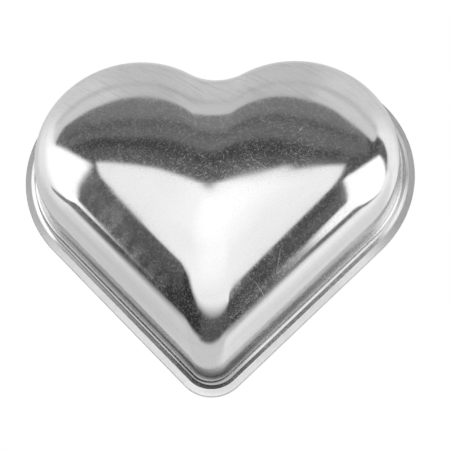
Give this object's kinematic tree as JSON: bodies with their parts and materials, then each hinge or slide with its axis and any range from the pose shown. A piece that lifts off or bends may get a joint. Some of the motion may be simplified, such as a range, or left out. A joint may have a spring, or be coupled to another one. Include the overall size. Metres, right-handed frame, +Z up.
{
  "type": "heart cake pan",
  "caption": "Small heart-shaped cake pan pressed from one sheet of bright aluminium, domed, with a narrow stepped rim and a raw trimmed edge; shown standing upside down on its rim.",
  "frame": {"origin": "middle of the footprint's box, on the plane of the trimmed rim edge", "axes": "+Z up to the crown of the dome, +X to the right lobe, -Y to the tip of the heart"},
  "size_m": [0.1, 0.0895, 0.0285],
  "materials": {
    "bright_aluminium": "bright rolled sheet with fine hairline scratches"
  },
  "bodies": {
    "root": {"heart_pan_shell": "bright_aluminium"}
  },
  "joints": []
}
